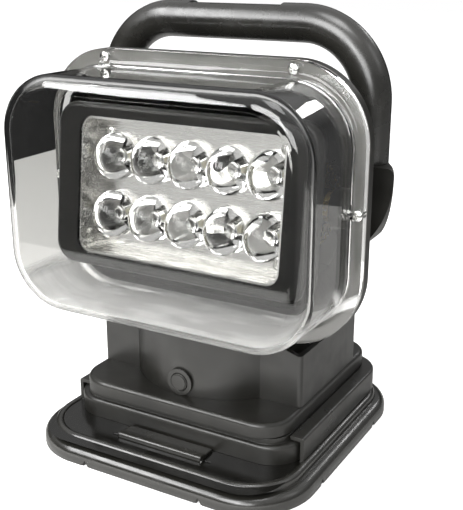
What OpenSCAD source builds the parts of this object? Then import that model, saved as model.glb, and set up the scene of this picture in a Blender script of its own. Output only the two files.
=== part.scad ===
/* [Mount plate] */
// Width of the mount plate
plate_w = 165; // [155:1:185]
// Depth of the mount plate
plate_d = 166; // [160:1:185]
// Corner radius of the plate, seen from above
plate_r = 36; // [30:1:42]
// Height of the lower skirt
skirt_h = 6; // [5:0.5:7]
// Step from the skirt in to the tread
skirt_step = 5.5; // [4:0.5:6]
// Height of the glossy tread that the lamp stands on
tread_z = 12; // [11:0.5:14]
// Radius along both rounded edges of the plate
plate_edge = 3; // [2:0.5:3.5]
// Wall of the plate over its hollow underside
plate_wall = 3.5; // [3:0.5:4.5]
// Spacing of the deck screws across the plate
deck_x = 96; // [80:1:104]
// Spacing of the deck screws along the plate
deck_y = 76; // [60:1:84]
// Diameter of a deck screw hole
deck_hole = 5.5; // [4:0.5:6.5]

/* [Rails] */
// Outer width across the two rails
rail_w = 147; // [143:1:149]
// Top of the rails
rail_top = 25.5; // [24:0.5:27]
// Wall of the rails and of their lip
rail_wall = 2.2; // [1.8:0.1:2.6]
// Reach of the lip over the base, measured from the outer face
rail_lip = 8; // [6:0.5:9]
// Corner radius where the rails turn round the rear
rail_r = 22; // [18:1:26]
// Rear face of the rail
rail_rear = 76; // [75:0.5:77]
// Front end of the rails
rail_front = -39; // [-46:1:-30]

/* [Release latch] */
// Width of the latch
latch_w = 52.8; // [40:0.2:56]
// Front edge of the latch
latch_front = -65.7; // [-67:0.1:-64]
// Top of the latch lip
latch_top = 14.8; // [14.2:0.1:15.4]
// Radius of the latch pin
latch_pin_r = 1.5; // [1.2:0.1:1.8]

/* [Base and turret] */
// Place of the pan axis along Y
pan_y = 11.5; // [11:0.25:12]
// Front face of the lamp's base
base_front = -52; // [-53:0.5:-50]
// Width of the turning upper tier
tier_w = 130; // [124:1:134]
// Height of the turning upper tier
tier_h = 8.2; // [7:0.2:9]
// Radius of the turret drum
drum_r = 54; // [52:0.5:55]
// Top of the turret drum
drum_top = 69; // [67:0.5:70]
// Width across the two side blocks
block_w = 128.8; // [124:0.2:130]
// Depth of the side blocks
block_d = 74; // [72:1:78]
// Top of the side blocks
block_top = 64.5; // [63:0.5:66]
// Wall of the moulded turret
turret_wall = 2.6; // [2.2:0.1:3]
// Radius of the hollow pan spindle
spindle_r = 11; // [9:0.5:12]
// Height of the push button's centre
button_z = 42.7; // [42.5:0.1:45]
// Radius of the push button
button_r = 5; // [4:0.25:5.5]

/* [Lamp housing] */
// Height of the tilt axis
tilt_z = 142; // [140:0.5:144]
// Place of the tilt axis along Y
tilt_y = -5; // [-6:0.25:-4]
// Nose-up angle of the lamp at rest
rest_tilt = 6.8; // [4:0.1:9]
// Half width of the clear cover and of the housing behind it
cover_half = 89; // [87:0.5:91]
// Bottom of the clear cover
cover_low = 82; // [80:0.5:84]
// Top of the clear cover
cover_high = 208; // [206:0.5:210]
// Depth of the clear cover in front of its flange
cover_depth = 51; // [48:0.5:56]
// Corner radius of the clear cover, seen from the front
cover_r = 32; // [28:1:36]
// Radius along the front edge of the clear cover
cover_edge = 9; // [6:0.5:11]
// Wall of the clear cover
cover_wall = 3; // [2.5:0.1:3.5]
// Thickness of the cover's rear flange
flange_t = 4; // [3:0.25:5]
// Reach of the flange past the cover at the sides
flange_side = 5.6; // [5:0.1:7]
// Reach of the flange past the cover above
flange_above = 9; // [8:0.5:10]
// Reach of the flange past the cover below
flange_below = 11; // [9:0.5:12]
// Back face of the housing
housing_back = 54; // [50:0.5:58]
// Wall of the housing
housing_wall = 3; // [2.5:0.1:3.5]

/* [Handle] */
// Half width of the handle over its legs
handle_half = 89.2; // [88:0.2:91]
// Top of the handle
handle_top = 240.7; // [234:0.1:246]
// Radius of the handle's round section
handle_tube = 10; // [9:0.1:10.5]
// Bend radius at the middle of the handle's section
handle_bend = 38.5; // [30:0.5:42]
// Place of the handle along Y
handle_y = 20; // [19:0.25:21]
// Height of the shoulders that the handle stands on
shoulder_z = 161.5; // [159:0.5:163]

/* [Lamp] */
// Width of the light opening
light_w = 123.5; // [120:0.5:124]
// Height of the light opening
light_h = 74.3; // [72:0.1:75]
// Width of the bezel
bezel_w = 154; // [148:1:158]
// Height of the bezel
bezel_h = 88; // [86:0.5:90]
// Gap between two lenses in a row
lens_gap = 0.8; // [0.6:0.1:2]
// Space between the end lenses and the sides of the opening
lens_end = 3.5; // [2.5:0.1:6]
// Pitch of the two rows of lenses
lens_pz = 31.3; // [26:0.1:34]
// Lenses in a row
lens_cols = 5; // [5:1:6]
// Rows of lenses
lens_rows = 2; // [1:1:2]
// Cooling fins on the heat sink
fin_count = 13; // [7:2:15]

/* [Gears] */
// Gear module of both drives
gear_m = 1; // [0.9:0.05:1]
// Teeth of the fixed pan gear
pan_teeth = 44; // [40:4:44]
// Teeth of the pan pinion
pan_pinion_teeth = 12; // [12:4:12]
// Teeth of the tilt gear
tilt_teeth = 40; // [36:4:40]
// Teeth of the tilt pinion
tilt_pinion_teeth = 10; // [10:4:14]

/* [Fits] */
// Radial play of a turning shaft
run_gap = 0.05; // [0.02:0.01:0.1]
// Gap between pieces that slide or turn past each other
move_gap = 0.6; // [0.4:0.1:0.8]
// Play of a piece in its seat
seat_gap = 0.2; // [0.1:0.05:0.3]
// Air gap between a clear piece and the piece behind it
optic_gap = 0.1; // [0.05:0.05:0.2]
// Extra distance between the centres of two gears
mesh_gap = 0.25; // [0.15:0.05:0.4]

/* [Hidden] */
$fn = 64;

moulded = [0.13, 0.13, 0.12];
steel = [0.72, 0.72, 0.70];
brass = [0.75, 0.62, 0.32];
clear = [0.80, 0.84, 0.84, 0.35];
board_green = [0.10, 0.32, 0.16];
board_white = [0.85, 0.85, 0.83];
phosphor = [0.88, 0.86, 0.72];
seal = [0.55, 0.55, 0.53];
eps = 0.01;

// Screws: shank radius, head radius and head height
screw_r = 1.5;
screw_head_r = 2.7;
screw_head_h = 2;
screw_len = 9;

// Plate
notch = 2.5;
notch_x = 36;
boss_r = 7;

// Rails and the base that slides into them
chan_half = rail_w / 2 - rail_wall;
lip_half = rail_w / 2 - rail_lip;
rail_edge = 1.4;
rail_d = rail_rear - rail_front + 2 * rail_r;
lip_low = rail_top - rail_wall;
base_half = chan_half - move_gap;
base_rear = rail_rear - rail_wall - move_gap;
base_r = rail_r - rail_wall - move_gap;
base_mid = (base_front + base_rear) / 2;
base_depth = base_rear - base_front;
base_top = lip_low - move_gap;
base_edge = 2;
neck_half = lip_half - move_gap;
neck_r = rail_r - rail_lip - move_gap;
neck_rear = rail_rear - rail_lip - move_gap;
neck_front = base_front + 2.4;
neck_top = rail_top + 0.4;
base_wall = 2.6;
foot_h = 5;
base_screw_in = 12;
base_boss_r = 4.5;
cover_t = 2.4;
gland_r = 5.5;
gland_z = tread_z + 6.5;
gland_nut = 6.4;

// Turning tier and turret
tier_z = neck_top + move_gap;
tier_top = tier_z + tier_h;
tier_d = 2 * (pan_y - base_front + 1);
tier_r = 19;
tier_edge = 2.5;
block_y = pan_y + 0.5;
block_front = block_y - block_d / 2;
block_rear = block_y + block_d / 2;
block_r = 2.5;
ring_top = 56;
ring_t = 3;
neck_gap = 0.4;
turret_screw_in = turret_wall + 5;
hop_w = 104;
hop_d = 50;

// Pan drive
hub_flange_r = 18;
hub_flange_t = 2.6;
bush_t = 3;
bush_lip = 2.2;
bush_play = 0.4;
gear_z = tier_top + bush_lip + bush_play;
gear_t = 6;
nut_r = 16;
nut_t = 6;
pinion_x = gear_m * (pan_teeth + pan_pinion_teeth) / 2 + mesh_gap;
motor_r = 12;
shaft_r = 2;
plate_t = 2;
deck_z = gear_z + gear_t + 1;
motor_h = 26;
post_r = 4;
post_y = 14;
board_t = 1.6;
board_w = 68;
board_d = 15;
board_hole_in = 5;
block_chip = [10, 8, 4.1];
chip_pitch = 18;
board_y = block_rear - turret_wall - 1 - board_d / 2;
board_z = deck_z + 2;

// Button on the front of the drum
drum_front = pan_y - drum_r;
ring_w = 2;
ring_out = 1.6;
ring_in = 4;
button_out = 0.9;
button_gap = 0.3;
button_travel = 1.4;
switch_r = 6.4;
switch_h = 7;

// Housing behind the clear cover
cover_root = -24.5;
gasket_t = 1;
rim_front = cover_root + flange_t + gasket_t;
rim_t = 5.5;
rim_back = rim_front + rim_t;
flange_r = 40;
cover_screw_x = 56;
cover_fillet = 4;
spot_r = screw_head_r + 0.5;
cover_mid = (cover_low + cover_high) / 2;
cover_h = cover_high - cover_low;
waist_y = rim_back + 6;
bowl_y = 11;
bowl_low = 90;
bowl_high = 190;
bowl_r = 28;
bowl_rear_r = 26;
crown_r = 30;
keel_r = 26;

// Shoulder lobes that carry the handle
leg_x = handle_half - handle_tube;
lobe_r = 54.3;
lobe_reach = leg_x + handle_tube + 7.8;
lobe_z = shoulder_z - 4.8;
lobe_front = handle_y - handle_tube - 0.6;
lobe_rear = handle_y + handle_tube + 2;
lobe_taper = 13.5;
lobe_edge = 4;
lobe_root = 8;
lobe_foot = 96;
tenon_r = 6;
tenon_h = 18;
leg_top = handle_top - handle_tube;
grip_flat = 1.4;
grip_flat_w = 56;

// Neck that stands in the turret
stem_w = 114;
stem_front = -14;
stem_rear = 44;
stem_r = 10;
stem_foot_t = 4;
stem_wall = 4;
neck_screw_x = 1.5;
neck_screw_y = 8;

// Lamp, drawn with X across, Y up the face and Z forward along the beam
bezel_f = 33;
bezel_t = 6;
bezel_r = 12;
bezel_edge = 3;
light_r = 8;
tray_t = 1.2;
tray_depth = 16.5;
tray_f = bezel_f + bezel_t - 1 - tray_depth;
shell_side = 3.85;
shell_half = light_w / 2 + shell_side;
shell_h = light_h + 2 * shell_side;
shell_back = 6;
shell_wall = 2.4;
bowl_half = shell_half + 1.4;
shell_r = 9;
lug_half = 9;
sink_in = 4.75;
sink_w = light_w - 2 * sink_in;
sink_h = light_h - 2 * sink_in;
sink_r = 2;
fin_in = 5;
sink_f = 13;
sink_t = 4;
fin_t = 2;
fin_back = -2;
pcb_t = 1.6;
pcb_f = sink_f + sink_t;
pcb_top = pcb_f + pcb_t;
chip_w = 3.6;
chip_t = 1;
lens_px = (light_w - 2 * lens_end) / lens_cols;
lens_d = lens_px - lens_gap;
lens_rim = 1.5;
lens_body = 4.5;
lens_base = tray_f + tray_t + optic_gap;
lens_step = 0.4;
lens_dome = lens_d / 2 - 0.75;
lens_stem_r = lens_d / 2 - 2.65;
lens_stem_taper = 3;
lens_cup_r = 3.4;
lens_cup_h = 3;
tray_screw_in = 8;
tray_screw_x = light_w / 2 - tray_screw_in;
tray_screw_y = light_h / 2 - tray_screw_in;

// Tilt drive and pivots
pivot_r = 4;
pivot_in = shell_half - 7;
pivot_out = shell_half + 10.2;
bush_r = 7;
bush_flange_r = 8.4;
ear_r = 10.5;
ear_x = shell_half + 4.4;
gear_x = shell_half - 6.3;
tilt_gear_t = 3;
tilt_centres = gear_m * (tilt_teeth + tilt_pinion_teeth) / 2 + mesh_gap;
tilt_motor_r = 10;
tilt_motor_len = 30;
tilt_motor_x = gear_x - 2;
seat_half = 8;
seat_in = 4;

// A rounded rectangle centred on the origin
module round_rect(w, h, r) {
  square([w - 2 * r, h], center = true);
  square([w, h - 2 * r], center = true);
  for (x = [-1, 1], y = [-1, 1]) translate([x * (w / 2 - r), y * (h / 2 - r)]) circle(r);
}

// A rounded rectangle between two heights
module band(half, low, high, r) {
  translate([0, (low + high) / 2]) round_rect(2 * half, high - low, r);
}

// Carries a half section round a rounded rectangle; the section's X starts at the corner's centre
module rim_body(w, d, r, h) {
  for (i = [0:3]) {
    sx = (i == 0 || i == 3) ? 1 : -1;
    sy = i < 2 ? 1 : -1;
    translate([sx * (w / 2 - r), sy * (d / 2 - r), 0]) rotate([0, 0, 90 * i])
      rotate_extrude(angle = 90) children();
  }
  for (a = [0, 180]) rotate([0, 0, a]) translate([w / 2 - r, 0, 0]) rotate([90, 0, 0])
    linear_extrude(d - 2 * r, center = true) children();
  for (a = [90, 270]) rotate([0, 0, a]) translate([d / 2 - r, 0, 0]) rotate([90, 0, 0])
    linear_extrude(w - 2 * r, center = true) children();
  translate([r - w / 2, r - d / 2, 0]) cube([w - 2 * r, d - 2 * r, h]);
}

// Half section of a plate with one rounded top edge
module edge_section(r, h, edge) {
  square([r, h - edge]);
  square([r - edge, h]);
  translate([r - edge, h - edge]) circle(edge);
}

// A rounded plate with a rounded top edge
module soft_plate(w, d, r, h, edge) {
  rim_body(w, d, r, h) edge_section(r, h, edge);
}

// Draws in the XZ plane and runs the shape back from one Y to another
module run_y(front, rear) {
  translate([0, rear, 0]) rotate([90, 0, 0]) linear_extrude(rear - front) children();
}

// Puts a shape drawn in lamp axes at its place and angle
module in_lamp() {
  translate([0, tilt_y, tilt_z]) rotate([90 - rest_tilt, 0, 0]) children();
}

// A cylinder along X between two places
module bar_x(r, from, to) {
  translate([from, 0, 0]) rotate([0, 90, 0]) cylinder(r = r, h = to - from);
}

// A pan-head screw, pointing down from the underside of its head
module screw(len) {
  cylinder(r = screw_head_r, h = screw_head_h * 0.6);
  translate([0, 0, screw_head_h * 0.6]) intersection() {
    scale_r = (pow(screw_head_r, 2) + pow(screw_head_h * 0.4, 2)) / (screw_head_h * 0.8);
    translate([0, 0, screw_head_h * 0.4 - scale_r]) sphere(scale_r);
    cylinder(r = screw_head_r, h = screw_head_h);
  }
  translate([0, 0, -len]) cylinder(r = screw_r, h = len + eps);
}

// A spur gear's outline, with tapered teeth and the first tooth on +X
function tooth_point(r, a) = [r * cos(a), r * sin(a)];
tooth_root = 0.25;
tooth_tip = 0.09;
module gear_outline(n) {
  pitch = 360 / n;
  root = gear_m * (n / 2 - 1.25);
  tip = gear_m * (n / 2 + 0.9);
  polygon([for (i = [0:n - 1]) each [
    tooth_point(root, pitch * (i - tooth_root)),
    tooth_point(tip, pitch * (i - tooth_tip)),
    tooth_point(tip, pitch * (i + tooth_tip)),
    tooth_point(root, pitch * (i + tooth_root))
  ]]);
}

// Plan of the rails, drawn in by a given amount and run past the front
module rail_plan(inset) {
  half = rail_w / 2 - inset;
  rear = rail_rear - inset;
  r = rail_r - inset;
  translate([-half, rail_front]) square([2 * half, rear - r - rail_front]);
  translate([r - half, rear - r - eps]) square([2 * (half - r), r + eps]);
  for (x = [-1, 1]) translate([x * (half - r), rear - r]) circle(r);
}

module deck_places() {
  for (x = [-1, 1], y = [-1, 1]) translate([x * deck_x / 2, y * deck_y / 2, 0]) children();
}

latch_half = latch_w / 2;
latch_rear = base_front - 1.2;
latch_gap = 0.5;
latch_axis_y = latch_front + 2.2;
latch_axis_z = tread_z - 1.5;
latch_low = tread_z - 3;
pin_reach = 5;

module mount_plate() color(moulded) {
  inner_w = plate_w - 2 * (skirt_step + plate_wall);
  inner_d = plate_d - 2 * (skirt_step + plate_wall);
  inner_r = plate_r - skirt_step - plate_wall;
  difference() {
    union() {
      difference() {
        union() {
          rim_body(plate_w, plate_d, plate_r, tread_z) {
            union() {
              edge_section(plate_r, skirt_h, plate_edge);
              edge_section(plate_r - skirt_step, tread_z, plate_edge);
            }
          }
          difference() {
            translate([0, rail_rear - rail_d / 2, tread_z - eps])
              soft_plate(rail_w, rail_d, rail_r, rail_top - tread_z + eps, rail_edge);
            translate([-plate_w, rail_front - plate_d, tread_z]) cube([2 * plate_w, plate_d, rail_top]);
          }
        }
        translate([0, 0, -eps]) linear_extrude(tread_z - plate_wall + eps)
          round_rect(inner_w, inner_d, inner_r);
        translate([0, 0, tread_z]) linear_extrude(lip_low - tread_z) intersection() {
          rail_plan(rail_wall);
          translate([-plate_w / 2, rail_front - eps]) square([plate_w, plate_d]);
        }
        translate([0, 0, lip_low - eps]) linear_extrude(rail_top) rail_plan(rail_lip);
        translate([-chan_half, rail_front - 1, tread_z]) cube([2 * chan_half, 1 + eps, lip_low - tread_z]);
        translate([-lip_half, rail_front - 1, tread_z]) cube([2 * lip_half, 1 + eps, rail_top]);
      }
      deck_places() cylinder(r = boss_r, h = tread_z);
      for (x = [-1, 1]) translate([x * (latch_half + pin_reach), latch_axis_y, 0])
        translate([-pin_reach, -pin_reach, 0]) cube([2 * pin_reach, 2 * pin_reach, tread_z]);
    }
    translate([0, 0, -eps]) deck_places() cylinder(d = deck_hole, h = tread_z + 2 * eps);
    translate([-latch_half - latch_gap, latch_front - latch_gap, -eps])
      cube([latch_w + 2 * latch_gap, latch_rear - latch_front + 2 * latch_gap, tread_z + 1]);
    translate([0, latch_axis_y, latch_axis_z])
      bar_x(latch_pin_r, -latch_half - pin_reach, latch_half + pin_reach);
    for (a = [0:3], x = [-1, 1]) rotate([0, 0, 90 * a])
      translate([x * notch_x, -(a % 2 == 0 ? plate_d : plate_w) / 2 + skirt_step, 0]) rotate([90, 0, 0])
        linear_extrude(skirt_step + 1) polygon([[-notch / 2, -eps], [0, notch], [notch / 2, -eps]]);
    translate([-gland_nut - 1, rail_rear - rail_lip - 1, tread_z])
      cube([2 * gland_nut + 2, rail_lip + 2, rail_top]);
  }
}

latch_lip = 3;
latch_round = 1;
latch_hollow = 1.8;
module release_latch() color(moulded) difference() {
  union() {
    translate([-latch_half, latch_front, latch_low])
      cube([latch_w, latch_rear - latch_front, latch_top - latch_low - latch_round]);
    translate([-latch_half, latch_front + latch_round, latch_top - 2 * latch_round])
      cube([latch_w, latch_lip, 2 * latch_round]);
    for (y = [0, latch_lip]) translate([0, latch_front + latch_round + y, latch_top - latch_round])
      bar_x(latch_round, -latch_half, latch_half);
  }
  translate([0, latch_axis_y, latch_axis_z])
    bar_x(latch_pin_r + run_gap, -latch_half - eps, latch_half + eps);
  for (x = [-1, 1]) translate([x * latch_half / 2, latch_rear - 3, latch_low - eps])
    translate([-latch_half / 3, -2, 0]) cube([latch_half * 2 / 3, 3, latch_hollow]);
}

module latch_pin() color(steel) translate([0, latch_axis_y, latch_axis_z])
  bar_x(latch_pin_r, -latch_half - pin_reach, latch_half + pin_reach);

// Plan of the base or of its neck, as a plate with rounded corners
module base_plan(half, front, rear, r) {
  translate([0, (front + rear) / 2]) round_rect(2 * half, rear - front, r);
}

module base_screw_places() {
  at_x = base_half - base_screw_in;
  at_y = base_depth / 2 - base_screw_in;
  for (x = [-1, 1], y = [-1, 1]) translate([x * at_x, base_mid + y * at_y, 0]) children();
}

module base_housing() color(moulded) difference() {
  union() {
    translate([0, base_mid, tread_z])
      soft_plate(2 * base_half, base_depth, base_r, base_top - tread_z, base_edge);
    translate([0, 0, base_top - 1]) linear_extrude(neck_top - base_top + 1)
      base_plan(neck_half, neck_front, neck_rear, neck_r);
  }
  difference() {
    translate([0, 0, tread_z - eps]) linear_extrude(base_top - base_wall - tread_z + eps)
      base_plan(base_half - base_wall, base_front + base_wall, base_rear - base_wall, base_r - base_wall);
    translate([0, 0, foot_h + tread_z + cover_t]) base_screw_places()
      cylinder(r = base_boss_r, h = base_top);
  }
  translate([0, pan_y, 0]) cylinder(r = spindle_r + seat_gap, h = neck_top + 1);
  base_screw_places() cylinder(r = screw_r, h = base_top - 1);
  translate([0, base_rear + eps, gland_z]) rotate([90, 0, 0])
    cylinder(r = gland_r + seat_gap, h = base_wall + 1);
}

module base_cover() color(moulded) translate([0, 0, tread_z + foot_h]) difference() {
  linear_extrude(cover_t) base_plan(base_half - base_wall - seat_gap, base_front + base_wall + seat_gap,
    base_rear - base_wall - seat_gap, base_r - base_wall - seat_gap);
  base_screw_places() translate([0, 0, -eps]) cylinder(r = screw_r + seat_gap, h = cover_t + 1);
  translate([0, pan_y, -eps]) cylinder(r = hub_flange_r + move_gap, h = cover_t + 1);
}

module base_screws() color(steel) translate([0, 0, tread_z + foot_h]) base_screw_places()
  mirror([0, 0, 1]) screw(base_top - 1.5 - tread_z - foot_h);

module power_gland() color(moulded) translate([0, base_rear, gland_z]) rotate([-90, 0, 0]) difference() {
  union() {
    translate([0, 0, -base_wall]) cylinder(r = gland_r, h = base_wall + 4);
    translate([0, 0, seat_gap]) cylinder(r = gland_nut, h = 3.5, $fn = 6);
    translate([0, 0, 3.5]) cylinder(r1 = gland_r, r2 = gland_r - 1.5, h = 5);
  }
  translate([0, 0, -base_wall - 3]) cylinder(r = gland_r - 2.6, h = 20);
}

module pan_spindle() color(steel) translate([0, pan_y, 0]) difference() {
  union() {
    translate([0, 0, base_top - base_wall - hub_flange_t]) cylinder(r = hub_flange_r, h = hub_flange_t);
    translate([0, 0, base_top - base_wall - 1])
      cylinder(r = spindle_r, h = gear_z + gear_t + nut_t - base_top + base_wall + 2);
  }
  cylinder(r = spindle_r - 3, h = deck_z * 2);
}

module pan_gear() color(brass) translate([0, pan_y, gear_z]) linear_extrude(gear_t) difference() {
  gear_outline(pan_teeth);
  circle(spindle_r);
}

module pan_nut() color(steel) translate([0, pan_y, gear_z + gear_t]) difference() {
  cylinder(r = nut_r, h = nut_t, $fn = 6);
  translate([0, 0, -1]) cylinder(r = spindle_r, h = nut_t + 2);
}

module post_places() {
  for (y = [-1, 1]) translate([pinion_x, pan_y + y * post_y, 0]) children();
}

module board_places() {
  for (x = [-1, 1]) translate([x * (board_w / 2 - board_hole_in), board_y, 0]) children();
}

module turret_screw_places() {
  at_x = block_w / 2 - turret_screw_in;
  at_y = block_d / 2 - turret_screw_in;
  for (x = [-1, 1], y = [-1, 1]) translate([x * at_x, block_y + y * at_y, 0]) children();
}

module turret_plate() color(moulded) difference() {
  union() {
    translate([0, pan_y, tier_z]) soft_plate(tier_w, tier_d, tier_r, tier_h, tier_edge);
    post_places() translate([0, 0, tier_top - 1]) cylinder(r = post_r, h = deck_z - tier_top + 1);
    board_places() translate([0, 0, tier_top - 1]) cylinder(r = post_r, h = board_z - tier_top + 1);
  }
  translate([0, pan_y, 0]) cylinder(r = spindle_r + bush_t, h = tier_top + 1);
  translate([0, 0, tier_z - eps]) turret_screw_places() {
    cylinder(r = screw_r + seat_gap, h = tier_h + 1);
    cylinder(r = screw_head_r + seat_gap, h = screw_head_h + 1 + eps);
  }
  post_places() translate([0, 0, deck_z - 6]) cylinder(r = screw_r, h = 7);
  board_places() translate([0, 0, board_z - 6]) cylinder(r = screw_r, h = 7);
}

module turret_screws() color(steel) translate([0, 0, tier_z + screw_head_h + 1]) turret_screw_places()
  mirror([0, 0, 1]) screw(12);

module pan_bush() color(brass) translate([0, pan_y, 0]) difference() {
  union() {
    translate([0, 0, tier_z]) cylinder(r = spindle_r + bush_t, h = tier_h + bush_lip);
    translate([0, 0, tier_top]) cylinder(r = spindle_r + bush_t + 3, h = bush_lip);
  }
  cylinder(r = spindle_r + run_gap, h = deck_z);
}

// Outline of the side blocks seen from above, drawn in by a given amount
module block_plan(inset) {
  translate([0, block_y]) round_rect(block_w - 2 * inset, block_d - 2 * inset, block_r);
}

module turret_housing() color(moulded) {
  slope_x = drum_r - 6;
  difference() {
    union() {
      translate([0, pan_y, tier_top]) cylinder(r = drum_r, h = drum_top - tier_top);
      translate([0, 0, tier_top]) linear_extrude(block_top - tier_top) block_plan(0);
      run_y(block_front, block_front + turret_wall) polygon([
        [block_r - block_w / 2, tier_top], [block_r - block_w / 2, block_top], [-slope_x, drum_top],
        [slope_x, drum_top], [block_w / 2 - block_r, block_top], [block_w / 2 - block_r, tier_top]]);
    }
    translate([0, 0, tier_top - eps]) {
      intersection() {
        linear_extrude(ring_top - ring_t - tier_top) block_plan(turret_wall);
        translate([-block_w, block_front + turret_wall, 0]) cube([2 * block_w, block_d, drum_top]);
      }
      translate([0, pan_y, 0]) cylinder(r = drum_r - turret_wall, h = ring_top - ring_t - tier_top);
      intersection() {
        translate([0, pan_y, 0]) cylinder(r = drum_r - turret_wall, h = drum_top - turret_wall - tier_top);
        translate([-drum_r, -drum_r, 0]) cube([2 * drum_r, drum_r + block_front, drum_top]);
      }
    }
    translate([0, 0, ring_top]) linear_extrude(drum_top) intersection() {
      union() {
        block_plan(turret_wall);
        translate([-drum_r, block_front + turret_wall]) square([2 * drum_r, 2 * drum_r + block_d]);
      }
      translate([-block_w, block_front + turret_wall]) square([2 * block_w, block_d * 2]);
    }
    translate([0, block_y, ring_top - ring_t - 1]) linear_extrude(ring_t + 2)
      round_rect(hop_w, hop_d, stem_r);
    translate([0, drum_front - 1, button_z]) rotate([-90, 0, 0])
      cylinder(r = button_r + ring_w + seat_gap, h = ring_in + switch_h);
    neck_screw_places() translate([0, 0, ring_top - ring_t - 1]) cylinder(r = screw_r, h = ring_t + 2);
  }
  turret_screw_places() translate([0, 0, tier_top]) difference() {
    cylinder(r = post_r, h = ring_top - ring_t - tier_top);
    translate([0, 0, -eps]) cylinder(r = screw_r, h = 10);
  }
}

module motor_plate() color(steel) translate([0, 0, deck_z]) linear_extrude(plate_t) difference() {
  translate([pinion_x, pan_y]) round_rect(2 * motor_r, 2 * (post_y + post_r), post_r);
  post_places() circle(screw_r);
  translate([pinion_x, pan_y]) circle(shaft_r + move_gap);
}

module pan_motor() color(steel) translate([pinion_x, pan_y, deck_z + plate_t])
  cylinder(r = motor_r, h = motor_h);

module pan_pinion() color(brass) translate([pinion_x, pan_y, gear_z]) {
  linear_extrude(gear_t) rotate(180 / pan_pinion_teeth) gear_outline(pan_pinion_teeth);
  cylinder(r = shaft_r, h = deck_z + plate_t - gear_z - seat_gap);
}

module control_board() color(board_green) {
  translate([-board_w / 2, board_y - board_d / 2, board_z]) cube([board_w, board_d, board_t]);
  for (x = [-1, 0, 1])
    translate([x * chip_pitch - block_chip[0] / 2, board_y - block_chip[1] / 2, board_z]) cube(block_chip);
}

module button_ring() color(moulded) translate([0, drum_front - ring_out, button_z]) rotate([-90, 0, 0])
difference() {
  union() {
    cylinder(r = button_r + ring_w, h = ring_out + ring_in);
    cylinder(r = button_r + ring_w + 0.8, h = ring_out - 0.4);
  }
  translate([0, 0, -1]) cylinder(r = button_r + button_gap, h = ring_out + ring_in + 2);
}

module push_button() color(moulded) translate([0, drum_front - ring_out - button_out, button_z])
rotate([-90, 0, 0]) {
  cylinder(r = button_r - 0.6, h = 1);
  translate([0, 0, 0.6]) cylinder(r = button_r, h = button_out + ring_out + ring_in - button_travel - 0.9);
}

module button_switch() color(moulded) translate([0, drum_front + ring_in, button_z]) rotate([-90, 0, 0])
  cylinder(r = switch_r + 1, h = switch_h);

// Outline of the flange on the cover and on the housing
module flange_outline() {
  band(cover_half + flange_side, cover_low - flange_below, cover_high + flange_above, flange_r);
}

// Places of the cover's screws round the flange
module cover_screw_places() {
  edge_x = cover_half + flange_side / 2;
  for (x = [-1, 1]) {
    translate([x * edge_x, 0, cover_mid]) children();
    translate([x * cover_screw_x, 0, cover_high + flange_above / 2]) children();
    translate([x * cover_screw_x, 0, cover_low - flange_below / 2]) children();
  }
}

// Front part of the housing, lofted from the rim to the bowl
module waist(inset, front) {
  hull() {
    run_y(front, waist_y) band(cover_half - inset, cover_low + inset, cover_high - inset, cover_r - inset);
    run_y(bowl_y, bowl_y + 1) band(bowl_half - inset, bowl_low + inset, bowl_high - inset, bowl_r - inset);
  }
}

// Rear part of the housing, round at the crown, at the keel and at both rear corners
module bowl(inset) {
  back = housing_back - inset;
  half = bowl_half - inset;
  high = bowl_high - inset;
  low = bowl_low + inset;
  rr = bowl_rear_r - inset;
  ct = crown_r - inset;
  kt = keel_r - inset;
  intersection() {
    run_y(bowl_y, housing_back) band(half, low, high, bowl_r - inset);
    linear_extrude(bowl_high) {
      translate([-half, bowl_y]) square([2 * half, back - rr - bowl_y]);
      translate([rr - half, bowl_y]) square([2 * (half - rr), back - bowl_y]);
      for (x = [-1, 1]) translate([x * (half - rr), back - rr]) circle(rr);
    }
    translate([-half, 0, 0]) rotate([90, 0, 90]) linear_extrude(2 * half) {
      translate([bowl_y, low]) square([back - max(ct, kt) - bowl_y, high - low]);
      translate([bowl_y, low + kt]) square([back - bowl_y, high - low - ct - kt]);
      translate([bowl_y, low]) square([back - kt - bowl_y, kt + 1]);
      translate([back - ct, high - ct]) circle(ct);
      translate([back - kt, low + kt]) circle(kt);
    }
  }
}

// Shoulder beside the bowl, with a flat top for the handle, a round underside and a taper to the rear
module lobe() {
  root = bowl_half - lobe_root;
  intersection() {
    run_y(lobe_front, lobe_rear) intersection() {
      translate([lobe_reach - lobe_r, lobe_z]) circle(lobe_r);
      translate([(root + lobe_reach) / 2, (lobe_foot + shoulder_z) / 2])
        round_rect(lobe_reach - root, shoulder_z - lobe_foot, lobe_edge);
    }
    linear_extrude(shoulder_z) polygon([[root, lobe_front], [lobe_reach, lobe_front],
      [lobe_reach - lobe_taper, lobe_rear], [root, lobe_rear]]);
  }
}

module neck_screw_places() {
  for (x = [-1, 1], y = [-1, 1])
    translate([x * (stem_w / 2 - neck_screw_x), block_y + y * (block_d / 2 - neck_screw_y), 0]) children();
}

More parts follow.
